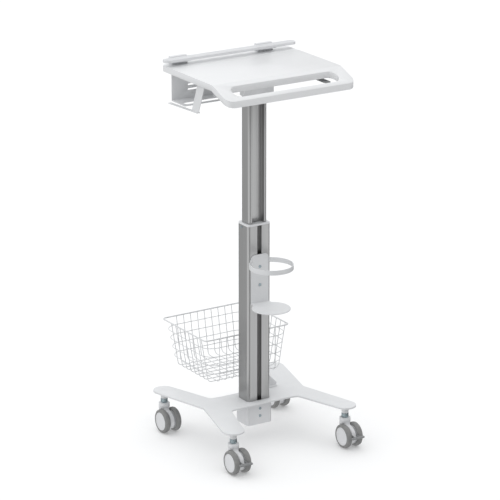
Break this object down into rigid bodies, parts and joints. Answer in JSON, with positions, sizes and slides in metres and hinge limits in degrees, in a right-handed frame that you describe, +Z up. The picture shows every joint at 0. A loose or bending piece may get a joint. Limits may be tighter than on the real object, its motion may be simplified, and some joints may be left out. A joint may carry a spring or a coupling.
{
  "type": "medication cart",
  "caption": "Height-adjustable ward trolley: worktop with a handle slot on a telescopic column, wire basket, canister holder, legged base on casters with brake pedals.",
  "frame": {"origin": "on the floor, below the middle of the whole object's footprint", "axes": "+Z up, +X to the user's right, -Y towards the user at the handle side"},
  "size_m": [0.471, 0.5758, 1.2035],
  "materials": {
    "aluminium": "extruded and anodised, fine lengthwise lines",
    "black_paint": "black paint",
    "black_plastic": "black plastic",
    "grey_plastic": "grey plastic",
    "grey_tyre": "grey non-marking tread",
    "steel": "ground steel",
    "white_board": "white moulded board, satin",
    "white_paint": "white powder coat, satin",
    "white_plastic": "white plastic, light sheen",
    "zinc": "bright zinc plate"
  },
  "bodies": {
    "base": {"base_plate": "white_paint", "foot_housing": "white_plastic", "foot_screw_lower": "zinc", "foot_screw_upper": "zinc", "lower_column": "aluminium", "guide_collar": "white_plastic", "glide_sleeve": "black_plastic", "collar_screw_left": "zinc", "collar_screw_right": "zinc", "gas_spring_cylinder": "black_paint", "canister_shelf": "white_paint", "canister_ring": "white_paint", "holder_screw_lower": "zinc", "holder_screw_upper": "zinc", "basket_rim": "white_paint", "basket_mesh": "white_paint", "basket_bracket": "white_paint", "cable_hook": "white_paint", "caster_fl_stem": "zinc", "caster_fr_stem": "zinc", "caster_rl_stem": "zinc", "caster_rr_stem": "zinc"},
    "mast": {"upper_column": "aluminium", "gas_spring_rod": "steel", "head_bracket": "white_paint", "worktop": "white_board", "document_rail": "white_plastic", "rail_bracket_left": "white_plastic", "rail_bracket_right": "white_plastic", "adapter_tray": "white_paint", "cable_strap": "white_paint"},
    "lever": {"release_lever": "grey_plastic"},
    "caster_fl": {"caster_fl_housing": "white_plastic", "caster_fl_axle": "steel"},
    "wheel_fl_left": {"caster_fl_wheel_left": "white_plastic", "caster_fl_tyre_left": "grey_tyre"},
    "wheel_fl_right": {"caster_fl_wheel_right": "white_plastic", "caster_fl_tyre_right": "grey_tyre"},
    "pedal_fl": {"caster_fl_brake_pedal": "grey_plastic"},
    "caster_fr": {"caster_fr_housing": "white_plastic", "caster_fr_axle": "steel"},
    "wheel_fr_left": {"caster_fr_wheel_left": "white_plastic", "caster_fr_tyre_left": "grey_tyre"},
    "wheel_fr_right": {"caster_fr_wheel_right": "white_plastic", "caster_fr_tyre_right": "grey_tyre"},
    "pedal_fr": {"caster_fr_brake_pedal": "grey_plastic"},
    "caster_rl": {"caster_rl_housing": "white_plastic", "caster_rl_axle": "steel"},
    "wheel_rl_left": {"caster_rl_wheel_left": "white_plastic", "caster_rl_tyre_left": "grey_tyre"},
    "wheel_rl_right": {"caster_rl_wheel_right": "white_plastic", "caster_rl_tyre_right": "grey_tyre"},
    "caster_rr": {"caster_rr_housing": "white_plastic", "caster_rr_axle": "steel"},
    "wheel_rr_left": {"caster_rr_wheel_left": "white_plastic", "caster_rr_tyre_left": "grey_tyre"},
    "wheel_rr_right": {"caster_rr_wheel_right": "white_plastic", "caster_rr_tyre_right": "grey_tyre"}
  },
  "joints": [
    {"name": "column_height", "type": "slide", "parent": "base", "child": "mast", "axis": [0, 0, 1], "range_m": [-0.385, 0]},
    {"name": "height_release", "type": "hinge", "parent": "mast", "child": "lever", "pos_m": [0.06, 0.0006, 1.149], "axis": [0, -1, 0], "range_deg": [0, 3], "stiffness_Nm_per_rad": 3},
    {"name": "caster_fl_swivel", "type": "hinge", "parent": "base", "child": "caster_fl", "pos_m": [-0.202, -0.2109, 0.0375], "axis": [0, 0, 1], "continuous": true},
    {"name": "wheel_fl_left_spin", "type": "hinge", "parent": "caster_fl", "child": "wheel_fl_left", "pos_m": [-0.202, -0.2339, 0.0375], "axis": [1, 0, 0], "continuous": true},
    {"name": "wheel_fl_right_spin", "type": "hinge", "parent": "caster_fl", "child": "wheel_fl_right", "pos_m": [-0.202, -0.2339, 0.0375], "axis": [1, 0, 0], "continuous": true},
    {"name": "brake_fl", "type": "hinge", "parent": "caster_fl", "child": "pedal_fl", "pos_m": [-0.202, -0.2549, 0.044], "axis": [1, 0, 0], "range_deg": [0, 12]},
    {"name": "caster_fr_swivel", "type": "hinge", "parent": "base", "child": "caster_fr", "pos_m": [0.202, -0.2109, 0.0375], "axis": [0, 0, 1], "continuous": true},
    {"name": "wheel_fr_left_spin", "type": "hinge", "parent": "caster_fr", "child": "wheel_fr_left", "pos_m": [0.202, -0.2339, 0.0375], "axis": [1, 0, 0], "continuous": true},
    {"name": "wheel_fr_right_spin", "type": "hinge", "parent": "caster_fr", "child": "wheel_fr_right", "pos_m": [0.202, -0.2339, 0.0375], "axis": [1, 0, 0], "continuous": true},
    {"name": "brake_fr", "type": "hinge", "parent": "caster_fr", "child": "pedal_fr", "pos_m": [0.202, -0.2549, 0.044], "axis": [1, 0, 0], "range_deg": [0, 12]},
    {"name": "caster_rl_swivel", "type": "hinge", "parent": "base", "child": "caster_rl", "pos_m": [-0.202, 0.1951, 0.0375], "axis": [0, 0, 1], "continuous": true},
    {"name": "wheel_rl_left_spin", "type": "hinge", "parent": "caster_rl", "child": "wheel_rl_left", "pos_m": [-0.202, 0.1721, 0.0375], "axis": [1, 0, 0], "continuous": true},
    {"name": "wheel_rl_right_spin", "type": "hinge", "parent": "caster_rl", "child": "wheel_rl_right", "pos_m": [-0.202, 0.1721, 0.0375], "axis": [1, 0, 0], "continuous": true},
    {"name": "caster_rr_swivel", "type": "hinge", "parent": "base", "child": "caster_rr", "pos_m": [0.202, 0.1951, 0.0375], "axis": [0, 0, 1], "continuous": true},
    {"name": "wheel_rr_left_spin", "type": "hinge", "parent": "caster_rr", "child": "wheel_rr_left", "pos_m": [0.202, 0.1721, 0.0375], "axis": [1, 0, 0], "continuous": true},
    {"name": "wheel_rr_right_spin", "type": "hinge", "parent": "caster_rr", "child": "wheel_rr_right", "pos_m": [0.202, 0.1721, 0.0375], "axis": [1, 0, 0], "continuous": true}
  ]
}
